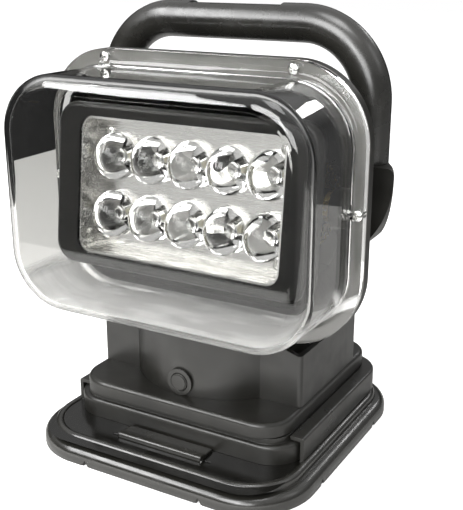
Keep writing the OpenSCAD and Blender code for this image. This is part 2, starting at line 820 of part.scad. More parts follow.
module rear_housing() color(moulded) difference() {
  union() {
    difference() {
      union() {
        run_y(rim_front, rim_back) flange_outline();
        waist(0, rim_front);
        bowl(0);
        for (x = [0, 1]) mirror([x, 0, 0]) lobe();
        translate([0, block_y, ring_top]) linear_extrude(bowl_low + bowl_r - ring_top)
          round_rect(stem_w, stem_rear - stem_front, stem_r);
        translate([0, 0, ring_top]) linear_extrude(stem_foot_t) block_plan(turret_wall + neck_gap);
      }
      waist(housing_wall, rim_front - 1);
      bowl(housing_wall);
      translate([0, block_y, ring_top - 1]) linear_extrude(bowl_low + bowl_r - ring_top + 2)
        round_rect(stem_w - 2 * stem_wall, stem_rear - stem_front - 2 * stem_wall, stem_r - stem_wall);
    }
    intersection() {
      for (x = [0, 1]) mirror([x, 0, 0]) translate([0, tilt_y, tilt_z]) bar_x(ear_r, ear_x, cover_half);
      waist(housing_wall / 2, rim_front);
    }
    intersection() {
      translate([0, tilt_y + tilt_centres, tilt_z - seat_half])
        translate([tilt_motor_x - tilt_motor_len + seat_in, 0, 0])
          cube([tilt_motor_len - 2 * seat_in, housing_back, 2 * seat_half]);
      bowl(housing_wall / 2);
    }
  }
  for (x = [0, 1]) mirror([x, 0, 0]) {
    translate([0, tilt_y, tilt_z]) bar_x(bush_r, ear_x - 1, pivot_out + 1);
    translate([leg_x, handle_y, shoulder_z - tenon_h - 1]) cylinder(r = tenon_r, h = tenon_h + 2);
    translate([leg_x, handle_y, lobe_foot]) cylinder(r = screw_r + seat_gap, h = shoulder_z - lobe_foot);
    translate([leg_x, handle_y, 0]) cylinder(r = screw_head_r + seat_gap, h = shoulder_z - tenon_h - 6);
  }
  translate([0, tilt_y + tilt_centres, tilt_z]) bar_x(tilt_motor_r, 0, tilt_motor_x + 2);
  cover_screw_places() rotate([-90, 0, 0]) translate([0, 0, rim_front - 1])
    cylinder(r = screw_r, h = rim_t - 0.5);
  neck_screw_places() translate([0, 0, ring_top - 1])
    cylinder(r = screw_r + seat_gap, h = stem_foot_t + 2);
}

module neck_screws() color(steel) translate([0, 0, ring_top + stem_foot_t]) neck_screw_places()
  screw(stem_foot_t + 2);

module bush(side) {
  scale_x = side > 0 ? 0 : 1;
  color(brass) mirror([scale_x, 0, 0]) translate([0, tilt_y, tilt_z]) difference() {
    union() {
      bar_x(bush_flange_r, shell_half + move_gap, ear_x);
      bar_x(bush_r, shell_half + move_gap, pivot_out + 1);
    }
    bar_x(pivot_r + run_gap, 0, pivot_out + seat_gap);
  }
}
module left_bush() bush(-1);
module right_bush() bush(1);

module clear_cover() color(clear) difference() {
  fillet_half = cover_half + cover_fillet;
  union() {
    translate([0, cover_root, cover_mid]) rotate([90, 0, 0])
      soft_plate(2 * cover_half, cover_h, cover_r, cover_depth, cover_edge);
    translate([0, cover_root + eps, cover_mid]) rotate([90, 0, 0])
      rim_body(2 * fillet_half, cover_h + 2 * cover_fillet, cover_r + cover_fillet, cover_fillet)
        translate([cover_r - eps, 0]) difference() {
          square(cover_fillet + eps);
          translate([cover_fillet + eps, cover_fillet + eps]) circle(cover_fillet);
        }
    run_y(cover_root, cover_root + flange_t) flange_outline();
  }
  translate([0, cover_root + flange_t + eps, cover_mid]) rotate([90, 0, 0])
    soft_plate(2 * (cover_half - cover_wall), cover_h - 2 * cover_wall, cover_r - cover_wall,
      cover_depth + flange_t - cover_wall, cover_edge - cover_wall);
  cover_screw_places() rotate([-90, 0, 0]) {
    translate([0, 0, cover_root - 1]) cylinder(r = screw_r + seat_gap, h = flange_t + 2);
    translate([0, 0, cover_root - cover_fillet]) cylinder(r = spot_r, h = cover_fillet);
  }
}

module cover_gasket() color(seal) difference() {
  run_y(cover_root + flange_t + optic_gap, rim_front) flange_outline();
  run_y(cover_root, housing_back)
    band(cover_half - cover_wall, cover_low + cover_wall, cover_high - cover_wall, cover_r - cover_wall);
  cover_screw_places() rotate([-90, 0, 0]) translate([0, 0, cover_root])
    cylinder(r = screw_r + seat_gap, h = flange_t * 2);
}

module cover_screws() color(steel) cover_screw_places() translate([0, cover_root, 0]) rotate([90, 0, 0])
  screw(flange_t + gasket_t + 3.5);

module handle() color(moulded) difference() {
  union() {
    for (x = [0, 1]) mirror([x, 0, 0]) {
      translate([leg_x, handle_y, shoulder_z])
        cylinder(r = handle_tube, h = leg_top - handle_bend - shoulder_z);
      translate([leg_x, handle_y, shoulder_z - tenon_h]) cylinder(r = tenon_r, h = tenon_h + 1);
      translate([leg_x - handle_bend, handle_y, leg_top - handle_bend]) rotate([90, 0, 0])
        rotate_extrude(angle = 90) translate([handle_bend, 0]) circle(handle_tube);
    }
    translate([0, handle_y, leg_top]) bar_x(handle_tube, handle_bend - leg_x, leg_x - handle_bend);
  }
  translate([-grip_flat_w / 2, handle_y - handle_tube, handle_top - grip_flat])
    cube([grip_flat_w, 2 * handle_tube, handle_tube]);
  for (x = [-1, 1]) translate([x * leg_x, handle_y, shoulder_z - tenon_h - 1])
    cylinder(r = screw_r, h = tenon_h);
}

module handle_screws() color(steel) for (x = [-1, 1])
  translate([x * leg_x, handle_y, shoulder_z - tenon_h - 6]) mirror([0, 0, 1]) screw(screw_len + 8);

module tilt_motor() color(steel) translate([0, tilt_y + tilt_centres, tilt_z])
  bar_x(tilt_motor_r, tilt_motor_x - tilt_motor_len, tilt_motor_x);

module tilt_pinion() color(brass) translate([0, tilt_y + tilt_centres, tilt_z]) {
  translate([gear_x, 0, 0]) rotate([0, 90, 0]) linear_extrude(tilt_gear_t) gear_outline(tilt_pinion_teeth);
  bar_x(shaft_r, tilt_motor_x + seat_gap, gear_x + tilt_gear_t);
}

module lamp_shell() color(moulded) in_lamp() difference() {
  union() {
    translate([0, 0, shell_back]) linear_extrude(bezel_f - shell_back)
      round_rect(2 * shell_half, shell_h, shell_r);
    for (x = [0, 1]) mirror([x, 0, 0]) {
      translate([shell_half - shell_wall, -lug_half, 0]) cube([shell_wall, 2 * lug_half, bezel_f / 2]);
      bar_x(lug_half, shell_half - shell_wall, shell_half);
    }
  }
  translate([0, 0, shell_back - 1]) linear_extrude(bezel_f)
    round_rect(2 * (shell_half - shell_wall), shell_h - 2 * shell_wall, shell_r - shell_wall);
  for (x = [0, 1]) mirror([x, 0, 0]) bar_x(pivot_r, 0, shell_half + 1);
}

module bezel() color(moulded) in_lamp() translate([0, 0, bezel_f]) difference() {
  soft_plate(bezel_w, bezel_h, bezel_r, bezel_t, bezel_edge);
  translate([0, 0, -1]) linear_extrude(bezel_t + 2) round_rect(light_w, light_h, light_r);
}

module lens_places() {
  for (c = [0:lens_cols - 1], r = [0:lens_rows - 1])
    translate([(c - (lens_cols - 1) / 2) * lens_px, (r - (lens_rows - 1) / 2) * lens_pz, 0]) children();
}

module tray_screw_places() {
  for (x = [-1, 1], y = [-1, 1]) translate([x * tray_screw_x, y * tray_screw_y, 0]) children();
}

module reflector_tray() color(steel) in_lamp() translate([0, 0, tray_f]) difference() {
  inner = seat_gap + tray_t;
  linear_extrude(tray_depth) round_rect(light_w - 2 * seat_gap, light_h - 2 * seat_gap, light_r - seat_gap);
  translate([0, 0, tray_t]) linear_extrude(tray_depth)
    round_rect(light_w - 2 * inner, light_h - 2 * inner, light_r - inner);
  translate([0, 0, -1]) {
    lens_places() cylinder(r = lens_stem_r + seat_gap, h = tray_t + 2);
    tray_screw_places() cylinder(r = screw_r, h = tray_t + 2);
  }
}

module tray_screws() color(steel) in_lamp() translate([0, 0, tray_f + tray_t]) tray_screw_places()
  screw(tray_f + tray_t - sink_f - 1);

module lenses() color(clear) in_lamp() lens_places() difference() {
  lens_r = lens_d / 2;
  dome_r = lens_r - lens_step;
  stem_base = pcb_top + optic_gap;
  ball = (dome_r * dome_r + lens_dome * lens_dome) / (2 * lens_dome);
  union() {
    translate([0, 0, lens_base]) cylinder(r = lens_r, h = lens_rim);
    translate([0, 0, lens_base]) cylinder(r = dome_r, h = lens_rim + lens_body);
    translate([0, 0, lens_base + lens_rim + lens_body]) intersection() {
      translate([0, 0, lens_dome - ball]) sphere(ball);
      cylinder(r = dome_r, h = lens_dome + 1);
    }
    translate([0, 0, stem_base])
      cylinder(r1 = lens_stem_r - lens_stem_taper, r2 = lens_stem_r, h = lens_base - stem_base + eps);
  }
  translate([0, 0, pcb_top]) cylinder(r = lens_cup_r, h = lens_cup_h);
}

module led_board() color(board_white) in_lamp() translate([0, 0, pcb_f]) linear_extrude(pcb_t) difference() {
  round_rect(sink_w, sink_h, sink_r);
  tray_screw_places() circle(screw_r);
}

module led_chips() color(phosphor) in_lamp() lens_places()
  translate([-chip_w / 2, -chip_w / 2, pcb_top]) cube([chip_w, chip_w, chip_t]);

module heat_sink() color(steel) in_lamp() {
  fin_span = sink_w - 2 * fin_in;
  translate([0, 0, sink_f]) linear_extrude(sink_t) difference() {
    union() {
      round_rect(sink_w, sink_h, sink_r);
      square([sink_w / 2, shell_h - 2 * (shell_wall + seat_gap)], center = true);
    }
    tray_screw_places() circle(screw_r);
  }
  for (i = [0:fin_count - 1]) translate([(i / (fin_count - 1) - 0.5) * fin_span, 0, (fin_back + sink_f) / 2])
    cube([fin_t, sink_h, sink_f - fin_back + eps], center = true);
}

module tilt_gear() color(brass) translate([gear_x, tilt_y, tilt_z]) rotate([0, 90, 0])
linear_extrude(tilt_gear_t) difference() {
  gear_outline(tilt_teeth);
  circle(pivot_r);
}

module pivot(side) {
  turn = side > 0 ? 0 : 1;
  color(steel) mirror([turn, 0, 0]) translate([0, tilt_y, tilt_z]) bar_x(pivot_r, pivot_in, pivot_out);
}
module left_pivot() pivot(-1);
module right_pivot() pivot(1);

mount_plate();
release_latch();
latch_pin();
base_housing();
base_cover();
base_screws();
power_gland();
pan_spindle();
pan_gear();
pan_nut();
turret_plate();
turret_screws();
pan_bush();
turret_housing();
motor_plate();
pan_motor();
pan_pinion();
control_board();
button_ring();
push_button();
button_switch();
rear_housing();
neck_screws();
left_bush();
right_bush();
clear_cover();
cover_gasket();
cover_screws();
handle();
handle_screws();
tilt_motor();
tilt_pinion();
lamp_shell();
bezel();
reflector_tray();
tray_screws();
lenses();
led_board();
led_chips();
heat_sink();
tilt_gear();
left_pivot();
right_pivot();
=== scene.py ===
import math
import bpy
import numpy as np
from mathutils import Matrix, Vector


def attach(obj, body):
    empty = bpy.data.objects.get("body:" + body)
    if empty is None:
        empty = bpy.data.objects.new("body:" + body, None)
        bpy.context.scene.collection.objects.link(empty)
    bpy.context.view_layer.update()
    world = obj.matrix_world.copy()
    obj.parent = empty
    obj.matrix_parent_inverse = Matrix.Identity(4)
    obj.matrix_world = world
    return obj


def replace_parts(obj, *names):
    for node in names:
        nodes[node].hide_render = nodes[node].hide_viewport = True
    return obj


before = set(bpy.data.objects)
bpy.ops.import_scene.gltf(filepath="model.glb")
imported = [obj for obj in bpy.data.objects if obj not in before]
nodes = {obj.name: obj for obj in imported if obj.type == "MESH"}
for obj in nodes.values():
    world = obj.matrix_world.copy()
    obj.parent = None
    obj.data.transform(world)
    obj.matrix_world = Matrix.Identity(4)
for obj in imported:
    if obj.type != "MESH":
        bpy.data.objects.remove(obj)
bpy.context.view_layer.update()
print("frame loaded:", len(nodes), "nodes")

mm = 0.001

# The viewpoint: where the camera stands, which way it looks and how long its lens is
viewpoint = {
    "place": (249.2 * mm, -421.4 * mm, 264.2 * mm),
    "azimuth": 29.81,
    "pitch": 18.21,
    "lens": 64.40,
    "sensor": 36.0,
    "near": 0.01,
    "far": 50,
}


def makeCamera(view):
    a, p = math.radians(view["azimuth"]), math.radians(view["pitch"])
    back = Vector((math.sin(a) * math.cos(p), -math.cos(a) * math.cos(p), math.sin(p)))
    data = bpy.data.cameras.new("viewCamera")
    data.lens, data.sensor_width = view["lens"], view["sensor"]
    data.clip_start, data.clip_end = view["near"], view["far"]
    data.dof.use_dof = False
    camera = bpy.data.objects.new("viewCamera", data)
    bpy.context.scene.collection.objects.link(camera)
    camera.location = view["place"]
    camera.rotation_euler = (-back).to_track_quat("-Z", "Y").to_euler()
    bpy.context.scene.camera = camera


makeCamera(viewpoint)
print("camera set")


# One call adds a shader node, sets its sockets and links what is linked
class Shader:
    def __init__(self, name):
        self.material = bpy.data.materials.new(name)
        self.material.use_nodes = True
        self.tree = self.material.node_tree
        self.surface = self.tree.nodes["Principled BSDF"]
        self.coords = self.tree.nodes.new("ShaderNodeTexCoord").outputs["Object"]

    def add(self, kind, settings=None, **sockets):
        node = self.tree.nodes.new("ShaderNode" + kind)
        for key, value in (settings or {}).items():
            setattr(node, key, value)
        for key, value in sockets.items():
            self.put(node, key, value)
        return node

    # A socket is named with _ for each space, or numbered as _0, _1 and so on
    def put(self, node, key, value):
        socket = node.inputs[int(key[1:])] if key[0] == "_" else node.inputs[key.replace("_", " ")]
        if isinstance(value, bpy.types.NodeSocket):
            self.tree.links.new(value, socket)
        else:
            socket.default_value = value

    def set(self, **sockets):
        for key, value in sockets.items():
            self.put(self.surface, key, value)

    # What is linked to one of the surface's sockets so far
    def linked(self, socket):
        return self.surface.inputs[socket].links[0].from_socket

    def noise(self, scale, detail=3.0, stretch=None):
        where = self.coords
        if stretch:
            where = self.add("Mapping", Vector=self.coords, Scale=stretch).outputs[0]
        return self.add("TexNoise", Vector=where, Scale=scale, Detail=detail).outputs[0]

    # Goes from low to high while the value goes from start to end
    def spread(self, value, low, high, start=0.0, end=1.0):
        return self.add("MapRange", _0=value, _1=start, _2=end, _3=low, _4=high).outputs[0]

    def maths(self, operation, first, second):
        return self.add("Math", {"operation": operation}, _0=first, _1=second).outputs[0]

    def axis(self, name):
        return self.add("SeparateXYZ", Vector=self.coords).outputs[name]

    def blend(self, factor, first, second):
        return self.add("Mix", {"data_type": "RGBA"}, _0=factor, _6=first, _7=second).outputs[2]

    def bump(self, height, strength, depth, under=None):
        node = self.add("Bump", Height=height, Strength=strength, Distance=depth)
        if under is not None:
            self.put(node, "Normal", under)
        return node.outputs[0]


# Satin moulded plastic: fine grain, faint flow marks, a little uneven polish and edges that catch the light
moulding = {
    "flow": 38.0, "flowSpan": (0.35, 0.7),
    "polish": 90.0, "polishSpan": (0.3, 0.7), "smoother": 0.05, "rougher": 0.07,
    "grain": 2600.0, "grainDepth": 0.2 * mm, "edgeSamples": 8,
}


def satinMoulding(name, dark, light, rough, grain=0.10, edge=0.5 * mm, index=1.56):
    m = moulding
    s = Shader(name)
    flow = s.spread(s.noise(m["flow"], 4.0), 0.0, 1.0, *m["flowSpan"])
    s.set(Base_Color=s.blend(flow, (*dark, 1), (*light, 1)))
    polish = s.noise(m["polish"], 3.0)
    s.set(Roughness=s.spread(polish, rough - m["smoother"], rough + m["rougher"], *m["polishSpan"]))
    rounded = s.add("Bevel", {"samples": m["edgeSamples"]}, Radius=edge).outputs[0]
    s.set(Normal=s.bump(s.noise(m["grain"], 2.0), grain, m["grainDepth"], rounded), IOR=index)
    return s


# The plate's tread is polished where the lamp slides on it, and painted shade darkens its colour there; the
# rest of the plate is satin
treadPolishAndShade = {
    "level": 12 * mm, "band": 0.4 * mm, "facingUp": 0.95,  # which faces are the tread
    # darker is how far painted shade darkens the tread's colour
    "rough": 0.10, "rougher": 0.12, "wear": 120.0, "wearSpan": (0.3, 0.75), "darker": 0.45,
}


def treadMoulding(name, dark, light, rough, tp):
    s = satinMoulding(name, dark, light, rough)
    height = s.axis("Z")
    facing = s.add("SeparateXYZ", Vector=s.add("NewGeometry").outputs["Normal"]).outputs["Z"]
    up = s.maths("GREATER_THAN", facing, tp["facingUp"])
    flat = s.maths("MULTIPLY", up, s.maths("LESS_THAN", height, tp["level"] + tp["band"]))
    flat = s.maths("MULTIPLY", flat, s.maths("GREATER_THAN", height, tp["level"] - tp["band"]))
    worn = s.spread(s.noise(tp["wear"], 4.0), tp["rough"], tp["rough"] + tp["rougher"], *tp["wearSpan"])
    s.set(Roughness=s.add("Mix", None, _0=flat, _2=s.linked("Roughness"), _3=worn).outputs[0])
    # Painted shade: the flat tread's colour, darkened by the darker factor
    paintedShadeTone = (*[c * tp["darker"] for c in dark], 1)
    s.set(Base_Color=s.blend(flat, s.linked("Base Color"), paintedShadeTone))
    return s


# The floor of the cover is hazy and pale, as a painted reflection, and the haze climbs into its rounded lower
# corners, but not into the flange or the front edge
coverHaze = {
    "full": 86.2 * mm, "none": 89.5 * mm,  # heights up to which it is full, and where it ends
    "corner": 62 * mm, "climb": 0.5,  # distance aside from which it climbs, and how steeply
    "root": -25.5 * mm, "rootFade": 4 * mm,  # where the flange begins
    "hang": (4 * mm, 3 * mm),  # the flange is clear from this far below the floor
    "front": -72.5 * mm, "frontFade": 5 * mm,
    "cloud": 25.0, "cloudStretch": (1, 3, 1), "cloudSpan": (0.42, 0.6), "thinnest": 0.65,
    "clear": 0.08, "rough": 0.12,  # light that still passes, and how matt it is
}


# Clear plastic with faint handling marks, and haze where it is given
def clearPlastic(name, tint, smudge, haze=None):
    s = Shader(name)
    s.set(Base_Color=(*tint, 1), IOR=1.5)
    marks = s.spread(s.noise(60.0, 4.0), 0.0, smudge, 0.45, 0.8)
    if haze:
        aside = s.maths("SUBTRACT", s.maths("ABSOLUTE", s.axis("X"), 0.0), haze["corner"])
        climb = s.maths("MULTIPLY", s.maths("MAXIMUM", aside, 0.0), haze["climb"])
        level = s.maths("SUBTRACT", s.axis("Z"), climb)
        low = s.spread(level, 1.0, 0.0, haze["full"], haze["none"])
        ahead = s.spread(s.axis("Y"), 1.0, 0.0, haze["root"] - haze["rootFade"], haze["root"])
        above = s.spread(level, 0.0, 1.0, haze["full"] - haze["hang"][0], haze["full"] - haze["hang"][1])
        ahead = s.maths("MAXIMUM", ahead, above)
        cloud = s.noise(haze["cloud"], 3.0, haze["cloudStretch"])
        cloudy = s.maths("MULTIPLY", low, s.spread(cloud, haze["thinnest"], 1.0, *haze["cloudSpan"]))
        behind = s.spread(s.axis("Y"), 0.0, 1.0, haze["front"], haze["front"] + haze["frontFade"])
        cloudy = s.maths("MULTIPLY", cloudy, s.maths("MULTIPLY", ahead, behind))
        s.set(Transmission_Weight=s.spread(cloudy, 1.0, haze["clear"]))
        s.set(Roughness=s.maths("ADD", marks, s.spread(cloudy, 0.0, haze["rough"])))
    else:
        s.set(Transmission_Weight=1.0, Roughness=marks)
    return s


# Bare metal with fine lines, which the stretch draws out where it is brushed
metalLines = {"darker": 0.85, "smoother": 0.7, "rougher": 1.3, "span": (0.3, 0.7), "depth": 0.2 * mm}


def metal(name, colour, rough, stretch=None, scale=400.0, strength=0.08):
    m = metalLines
    s = Shader(name)
    lines = s.noise(scale, 3.0, stretch)
    darker = (*[c * m["darker"] for c in colour], 1)
    s.set(Metallic=1.0, Base_Color=s.blend(lines, (*colour, 1), darker))
    s.set(Roughness=s.spread(lines, rough * m["smoother"], rough * m["rougher"], *m["span"]))
    s.set(Normal=s.bump(lines, strength, m["depth"]))
    return s


# The lamp's board: white lacquer, tinned fields that mirror and dark tracks between them
boardFields = {
    "white": (0.72, 0.72, 0.70), "dark": (0.03, 0.03, 0.028), "tin": (0.93, 0.925, 0.91),
    "size": 8 * mm, "bareAbove": 0.45, "trackBelow": 0.14, "rough": (0.12, 0.3),
}


def tinnedBoard(name, bf):
    s = Shader(name)
    cell = s.add("TexVoronoi", Vector=s.coords, Scale=1 / bf["size"]).outputs["Color"]
    tone = s.add("SeparateColor", Color=cell).outputs["Red"]
    bare = s.maths("GREATER_THAN", tone, bf["bareAbove"])
    track = s.maths("LESS_THAN", tone, bf["trackBelow"])
    lacquer = s.blend(track, (*bf["white"], 1), (*bf["dark"], 1))
    s.set(Base_Color=s.blend(bare, lacquer, (*bf["tin"], 1)), Metallic=bare)
    s.set(Roughness=s.spread(s.noise(300.0), *bf["rough"], 0.3, 0.7))
    return s


# The tray is brushed along its length, and painted shade darkens it towards its left end and its lower wall
trayBrush = {
    # The second colour is the painted shade; span and rise say where it gives way to the brushed metal, across
    # and up
    "colour": (0.80, 0.795, 0.778), "paintedShade": (0.36, 0.355, 0.34), "rough": 0.24,
    "stretch": (1, 30, 30), "lines": 60.0, "strength": 0.12,
    "span": (-66 * mm, -46 * mm), "rise": (105 * mm, 118 * mm), "cloud": 45.0, "wander": 8 * mm,
}


def brushedTray(name, tb):
    s = metal(name, tb["colour"], tb["rough"], tb["stretch"], tb["lines"], tb["strength"])
    brushed = s.linked("Base Color")
    # Painted shade: the brushed colour gives way to the dark tone towards the left end and the lower wall,
    # along a wandering edge
    wander = s.spread(s.noise(tb["cloud"], 3.0), -tb["wander"], tb["wander"], 0.3, 0.7)
    across = s.spread(s.maths("ADD", s.axis("X"), wander), 0.0, 1.0, *tb["span"])
    bright = s.maths("MULTIPLY", across, s.spread(s.axis("Z"), 0.0, 1.0, *tb["rise"]))
    s.set(Base_Color=s.blend(bright, (*tb["paintedShade"], 1), brushed))
    return s


# Gives nodes of the frame one material in place of their own
def dress(shader, *names):
    for name in names:
        slots = nodes[name].data.materials
        slots.clear()
        slots.append(shader.material)


# The darkest and the lightest tone of each black plastic
blackTones = {
    "body": ((0.009, 0.0087, 0.0073), (0.016, 0.0155, 0.0132)),
    "handle": ((0.012, 0.0117, 0.0101), (0.018, 0.0174, 0.015)),
    "plate": ((0.012, 0.0116, 0.0098), (0.021, 0.0204, 0.0176)),
    "rim": ((0.010, 0.0097, 0.0082), (0.018, 0.0175, 0.015)),
    "bezel": ((0.009, 0.0088, 0.008), (0.015, 0.0146, 0.0132)),
}
bodyPlastic = satinMoulding("bodyPlastic", *blackTones["body"], 0.33)
rearPlastic = satinMoulding("rearPlastic", *blackTones["body"], 0.46, grain=0.06, edge=0.1 * mm, index=1.42)
handlePlastic = satinMoulding("handlePlastic", *blackTones["handle"], 0.26, grain=0.06, index=1.75)
platePlastic = treadMoulding("platePlastic", *blackTones["plate"], 0.30, treadPolishAndShade)
latchPlastic = satinMoulding("latchPlastic", *blackTones["plate"], 0.22, edge=1.3 * mm, index=1.7)
rimPlastic = satinMoulding("rimPlastic", *blackTones["rim"], 0.22, index=1.7)
bezelPlastic = satinMoulding("bezelPlastic", *blackTones["bezel"], 0.34, index=1.33)
coverPlastic = clearPlastic("coverPlastic", (0.955, 0.955, 0.945), 0.02, coverHaze)
lensPlastic = clearPlastic("lensPlastic", (0.90, 0.90, 0.892), 0.07)
silver = brushedTray("silver", trayBrush)
brightSteel = metal("brightSteel", (0.80, 0.80, 0.78), 0.16)
brassMetal = metal("brassMetal", (0.70, 0.55, 0.26), 0.3)
castAluminium = metal("castAluminium", (0.60, 0.61, 0.62), 0.45)
paleSeal = satinMoulding("paleSeal", (0.22, 0.217, 0.207), (0.29, 0.286, 0.276), 0.85, grain=0.02, index=1.2)
boardGreen = satinMoulding("boardGreen", (0.02, 0.10, 0.04), (0.03, 0.14, 0.06), 0.35)
boardWhite = tinnedBoard("boardWhite", boardFields)
phosphor = satinMoulding("phosphor", (0.66, 0.63, 0.50), (0.74, 0.72, 0.60), 0.5)

dress(bodyPlastic, "base_housing", "base_cover", "power_gland", "turret_plate", "turret_housing",
      "button_ring", "button_switch", "lamp_shell", "push_button")
dress(rearPlastic, "rear_housing")
dress(platePlastic, "mount_plate")
dress(latchPlastic, "release_latch")
dress(handlePlastic, "handle")
dress(bezelPlastic, "bezel")
dress(coverPlastic, "clear_cover")
dress(silver, "reflector_tray")
dress(brightSteel, "latch_pin", "base_screws", "pan_spindle", "pan_nut", "turret_screws", "motor_plate",
      "pan_motor", "neck_screws", "handle_screws", "tilt_motor", "left_pivot", "right_pivot")
dress(brassMetal, "pan_gear", "pan_pinion", "pan_bush", "left_bush", "right_bush", "tilt_pinion", "tilt_gear")
dress(castAluminium, "heat_sink")
dress(paleSeal, "cover_gasket")
dress(boardGreen, "control_board")
dress(boardWhite, "led_board")
dress(phosphor, "led_chips")
print("materials set")


# A closed surface from rows of points round an axis; the first and the last row shrink to one point each
def closedSurface(rows):
    count, around = rows.shape[:2]
    points = np.vstack([rows[0].mean(0), rows[1:-1].reshape(-1, 3), rows[-1].mean(0)])
    ring = np.arange(around)
    after = (ring + 1) % around
    base = 1 + around * np.arange(count - 3)[:, None]
    quads = np.stack([base + ring, base + after, base + around + after, base + around + ring], -1)
    quads = quads.reshape(-1, 4)
    last = 1 + around * (count - 3)
    top = np.stack([0 * ring, after + 1, ring + 1], -1)
    tip = np.stack([0 * ring + len(points) - 1, last + ring, last + after], -1)
    return points, [top[:, ::-1], quads[:, ::-1], tip[:, ::-1]]


# One object from several surfaces, smooth but for its sharp edges, on the body it moves with
def addPiece(name, surfaces, shader, body, crease=35):
    points, faces, start = [], [], 0
    for where, groups in surfaces:
        points.append(where)
        faces += [face for group in groups for face in (group + start).tolist()]
        start += len(where)
    mesh = bpy.data.meshes.new(name)
    mesh.from_pydata(np.vstack(points).tolist(), [], faces)
    mesh.shade_smooth()
    mesh.set_sharp_from_angle(angle=math.radians(crease))
    mesh.materials.append(shader.material)
    piece = bpy.data.objects.new(name, mesh)
    bpy.context.scene.collection.objects.link(piece)
    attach(piece, body)
    return piece


# Cross-head screws: the head is a shallow dome, and two crossed slots sink into it with soft walls
crossScrew = {
    "head": 2.7 * mm, "side": 1.2 * mm, "dome": 0.8 * mm, "shank": 1.5 * mm, "wall": 0.6,
    "slotHalf": 0.42 * mm, "slotReach": 1.75 * mm, "slotDepth": 1.15 * mm, "soft": 0.16 * mm, "taper": 0.45,
    "firstTurn": 0.35, "nextTurn": 0.9, "rings": 44, "around": 112,
}


def screwRows(sc, length, turn):
    angle = np.linspace(0, 2 * math.pi, sc["around"], endpoint=False)
    r = np.linspace(0, sc["head"], sc["rings"])[:, None]
    p, q = r * np.cos(angle - turn), r * np.sin(angle - turn)

    # A slot is deep where a point lies inside its half width and its reach, and fades over the soft width
    def slot(along, across):
        side = np.clip((sc["slotHalf"] - np.abs(across)) / sc["soft"] + 0.5, 0, 1)
        end = np.clip((sc["slotReach"] - np.abs(along)) / (2 * sc["soft"]) + 0.5, 0, 1)
        return side * end

    # Its depth tapers off outwards
    deep = np.maximum(slot(p, q), slot(q, p)) * (1 - sc["taper"] * r / sc["slotReach"])
    # The dome falls away with the square of the distance from the middle
    high = sc["side"] + sc["dome"] * (1 - (r / sc["head"]) ** 2) - sc["slotDepth"] * deep
    top = np.stack([r * np.cos(angle), r * np.sin(angle), high + 0 * angle], -1)
    # Below it come the head's wall, its underside and the shank
    radii = np.array([sc["head"], sc["head"], sc["shank"], sc["shank"], 0.0])[:, None]
    heights = np.array([sc["wall"] * sc["side"], 0.0, 0.0, -length, -length])[:, None]
    rest = np.stack([radii * np.cos(angle), radii * np.sin(angle), heights + 0 * angle], -1)
    return np.concatenate([top, rest])


# Each screw stands at its place with its axis along the direction given, and turned by its own angle
def addScrews(name, plain, places, out, length, body):
    out = np.array(out, float)
    side = np.array((1.0, 0.0, 0.0))
    axes = np.stack([side, np.cross(out, side), out])
    turns = [crossScrew["firstTurn"] + crossScrew["nextTurn"] * k for k in range(len(places))]
    turned = [closedSurface(screwRows(crossScrew, length, t) @ axes + at) for t, at in zip(turns, places)]
    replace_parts(addPiece(name, turned, brightSteel, body), plain)


flangeScrews = {
    "face": -24.5 * mm, "length": 8.5 * mm,
    "places": [(-56, 212.5), (56, 212.5), (-56, 76.5), (56, 76.5), (-91.8, 145), (91.8, 145)],
}
flangePlaces = [(x * mm, flangeScrews["face"], z * mm) for x, z in flangeScrews["places"]]
addScrews("flangeScrews", "cover_screws", np.array(flangePlaces), (0, -1, 0),
          flangeScrews["length"], "turret")

# The lamp leans back, so its screws stand along the beam and their places go up the leaning face
traySeat = {
    "axle": (-5 * mm, 142 * mm), "lean": math.radians(6.8), "floor": 22.7 * mm, "length": 8.7 * mm,
    "across": 53.75 * mm, "up": 29.15 * mm,
}


# From the lamp's own directions, aside, up its face and along the beam, to the frame's
def onLamp(x, up, forward):
    c, s = math.cos(traySeat["lean"]), math.sin(traySeat["lean"])
    y, z = traySeat["axle"]
    return x, y + up * s - forward * c, z + up * c + forward * s


trayPlaces = [onLamp(x * traySeat["across"], u * traySeat["up"], traySeat["floor"])
              for x in (-1, 1) for u in (-1, 1)]
beam = (0, -math.cos(traySeat["lean"]), math.sin(traySeat["lean"]))
addScrews("trayScrews", "tray_screws", np.array(trayPlaces), beam, traySeat["length"], "lamp")
print("screws set")

# Lenses: an oval dome on a short drum with an oval rim, a round tapered stem that stands on the board, and in
# the stem a hollow cup over the chip
lensForm = {
    "columns": 5, "rows": 2, "across": 23.3 * mm, "apart": 31.3 * mm, "foot": 18.8 * mm, "seat": 22.8 * mm,
    "rim": 1.5 * mm, "drum": 3.5 * mm, "edge": 11.0 * mm, "ball": (10.85 * mm, 13.0 * mm), "tall": 1.18,
    "stem": (5.6 * mm, 8.6 * mm), "cup": (3.8 * mm, 2.8 * mm), "cupHeight": 5.0 * mm, "bulge": 0.9 * mm,
    "steps": 34, "roofSteps": 14, "around": 96,
}


